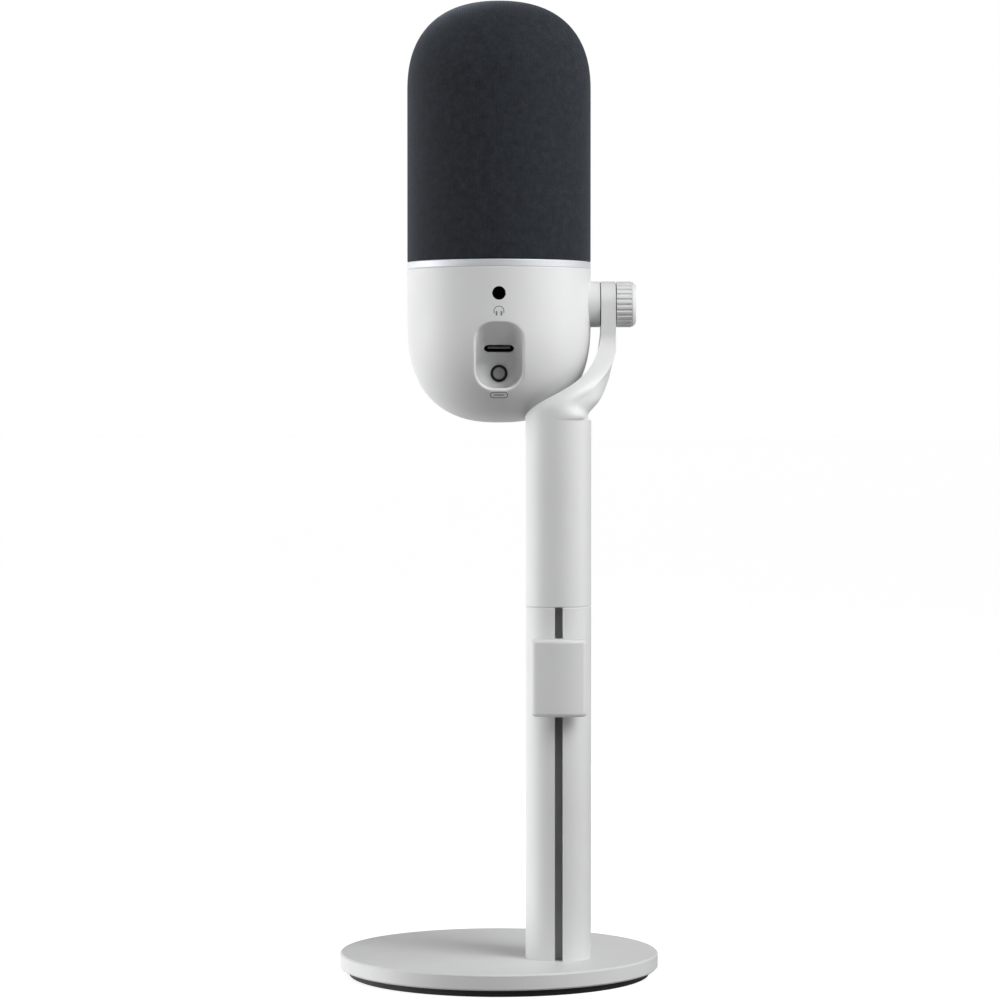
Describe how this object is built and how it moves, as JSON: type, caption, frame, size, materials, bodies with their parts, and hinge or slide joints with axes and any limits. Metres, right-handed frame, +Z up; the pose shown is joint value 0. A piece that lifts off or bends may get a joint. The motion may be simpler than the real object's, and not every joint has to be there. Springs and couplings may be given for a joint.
{
  "type": "desktop microphone",
  "caption": "Desktop USB microphone: fabric domed head hung on one side arm with a tilt knob, on an offset slotted column with a sliding cable clip and a round weighted base.",
  "frame": {"origin": "centre of the base's underside, on the desk", "axes": "+Z up along the head's axis, -Y the rear with the sockets, +X the side with the arm and the tilt knob"},
  "size_m": [0.0957, 0.0956, 0.2921],
  "materials": {
    "white_metal": "matte",
    "white_alloy": "matte",
    "white_plastic": "matte",
    "trim_alloy": "satin",
    "pad_rubber": "matte",
    "steel": "satin",
    "dark_steel": "satin",
    "bare_alloy": "satin",
    "dark_plastic": "matte",
    "black_plastic": "satin",
    "button_plastic": "satin",
    "washer_plastic": "satin",
    "chassis_plastic": "matte",
    "circuit_board": "satin",
    "clear_plastic": "gloss",
    "isolator_rubber": "matte",
    "brass_insert": "satin",
    "capsule_brass": "satin",
    "capsule_gold": "polished",
    "foam": "matte",
    "knit_fabric": "matte"
  },
  "bodies": {
    "stand": {"base_plate": "white_metal", "base_pad": "pad_rubber", "base_screw": "steel", "base_dowel": "steel", "column_foot": "bare_alloy", "lower_column": "white_metal", "track_liner": "dark_plastic", "column_top_plug": "bare_alloy", "coupling_stud": "steel", "upper_arm": "white_metal", "pivot_washer": "washer_plastic"},
    "clip": {"cable_clip": "white_plastic", "clip_runner": "white_plastic", "runner_spring": "steel"},
    "knob_carrier": {"thrust_washer": "washer_plastic"},
    "knob": {"tilt_knob": "white_alloy", "knob_screw": "steel"},
    "button": {"mode_button": "button_plastic"},
    "head": {"lower_housing": "white_alloy", "trim_ring": "trim_alloy", "pivot_boss": "white_alloy", "boss_insert": "brass_insert", "boss_screws": "steel", "deck_screws": "steel", "chassis": "chassis_plastic", "main_board": "circuit_board", "board_parts": "dark_plastic", "port_board": "circuit_board", "usb_shell": "dark_steel", "usb_tongue": "dark_plastic", "headphone_jack": "black_plastic", "button_bezel": "black_plastic", "button_switch": "black_plastic", "status_light": "clear_plastic", "capsule_isolator": "isolator_rubber", "capsule_cradle": "black_plastic", "capsule_body": "capsule_brass", "capsule_diaphragm": "capsule_gold", "capsule_lead": "black_plastic", "grille_cage": "black_plastic", "inner_foam": "foam", "grille_fabric": "knit_fabric"}
  },
  "joints": [
    {"name": "head_tilt", "type": "hinge", "parent": "stand", "child": "head", "pos_m": [0, 0, 0.2015], "axis": [1, 0, 0], "range_deg": [-90, 90]},
    {"name": "knob_back_off", "type": "slide", "parent": "stand", "child": "knob_carrier", "axis": [1, 0, 0], "range_m": [0, 0.00165]},
    {"name": "knob_turn", "type": "hinge", "parent": "knob_carrier", "child": "knob", "pos_m": [0.0352, 0, 0.2015], "axis": [1, 0, 0], "range_deg": [0, 720]},
    {"name": "clip_slide", "type": "slide", "parent": "stand", "child": "clip", "axis": [0, 0, 1], "range_m": [-0.07, 0.0085]},
    {"name": "button_press", "type": "slide", "parent": "head", "child": "button", "axis": [0, 1, 0], "range_m": [0, 0.0005], "stiffness_N_per_m": 1500, "springref_m": -0.0004}
  ],
  "couplings": [
    {"joint": "knob_back_off", "follows": "knob_turn", "m_per_rad": 0.00012732}
  ]
}
